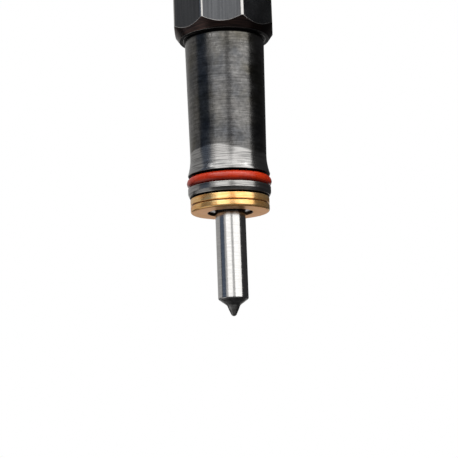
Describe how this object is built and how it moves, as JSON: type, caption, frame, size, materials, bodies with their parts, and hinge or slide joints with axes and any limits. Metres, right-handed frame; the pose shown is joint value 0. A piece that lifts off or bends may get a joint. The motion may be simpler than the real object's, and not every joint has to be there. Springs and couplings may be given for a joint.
{
  "type": "fuel injector",
  "caption": "Common-rail diesel fuel injector: long nozzle in a retaining nut with seals, slotted body, screwed side inlet, solenoid control valve and electrical connector.",
  "frame": {"origin": "on the injector's axis, in the plane of the sealing washer's lower face, where the injector seats in the cylinder head", "axes": "+Z along the injector's axis away from the spray tip, +X towards the high-pressure inlet, -X towards the electrical socket"},
  "size_m": [0.063, 0.037, 0.185],
  "materials": {
    "black_steel": "black-oxide steel, fine turned and brushed",
    "ground_steel": "ground tool steel",
    "dark_steel": "phosphated steel, satin",
    "plated_steel": "zinc-nickel plated, satin",
    "lapped_steel": "lapped and polished",
    "spring_steel": "oiled spring wire",
    "brass": "turned, bright",
    "red_silicone": "moulded silicone rubber, satin",
    "black_rubber": "moulded nitrile rubber, oiled",
    "magnet_iron": "sintered soft iron",
    "copper_wire": "enamelled copper winding",
    "tin_contact": "tin-plated brass",
    "black_plastic": "glass-filled nylon, fine moulded grain",
    "tan_plastic": "moulded bobbin plastic",
    "ceramic_ball": "polished ceramic"
  },
  "bodies": {
    "injector": {"sealing_washer": "brass", "nozzle_nut": "black_steel", "nozzle_o_ring": "red_silicone", "nozzle_body": "ground_steel", "dowel_pins": "lapped_steel", "needle_spring": "spring_steel", "spring_shim": "dark_steel", "injector_body": "dark_steel", "body_o_ring": "black_rubber", "valve_seal_ring": "brass", "valve_seat": "lapped_steel", "valve_screw": "dark_steel", "armature_guide": "lapped_steel", "lift_spacer": "lapped_steel", "armature_spring": "spring_steel", "magnet_core": "magnet_iron", "coil_bobbin": "tan_plastic", "coil_winding": "copper_wire", "valve_spring": "spring_steel", "spring_force_shim": "dark_steel", "solenoid_sleeve": "plated_steel", "solenoid_o_ring": "black_rubber", "solenoid_nut": "black_steel", "connector_housing": "black_plastic", "connector_terminals": "tin_contact", "return_stub": "plated_steel", "inlet_connector": "plated_steel", "edge_filter": "lapped_steel"},
    "needle": {"nozzle_needle": "lapped_steel", "spring_seat": "dark_steel", "control_piston": "lapped_steel"},
    "valve_pin": {"armature_pin": "lapped_steel", "ball_carrier": "lapped_steel", "valve_ball": "ceramic_ball", "armature_clip": "spring_steel"},
    "armature": {"armature_plate": "magnet_iron"}
  },
  "joints": [
    {"name": "needle_lift", "type": "slide", "parent": "injector", "child": "needle", "axis": [0, 0, 1], "range_m": [0, 0.00025], "stiffness_N_per_m": 25000, "deforming": ["needle_spring"]},
    {"name": "valve_lift", "type": "slide", "parent": "injector", "child": "valve_pin", "axis": [0, 0, 1], "range_m": [0, 0.00005], "stiffness_N_per_m": 15000, "deforming": ["valve_spring"]},
    {"name": "armature_overtravel", "type": "slide", "parent": "valve_pin", "child": "armature", "axis": [0, 0, -1], "range_m": [0, 0.00003], "stiffness_N_per_m": 5000, "deforming": ["armature_spring"]}
  ]
}
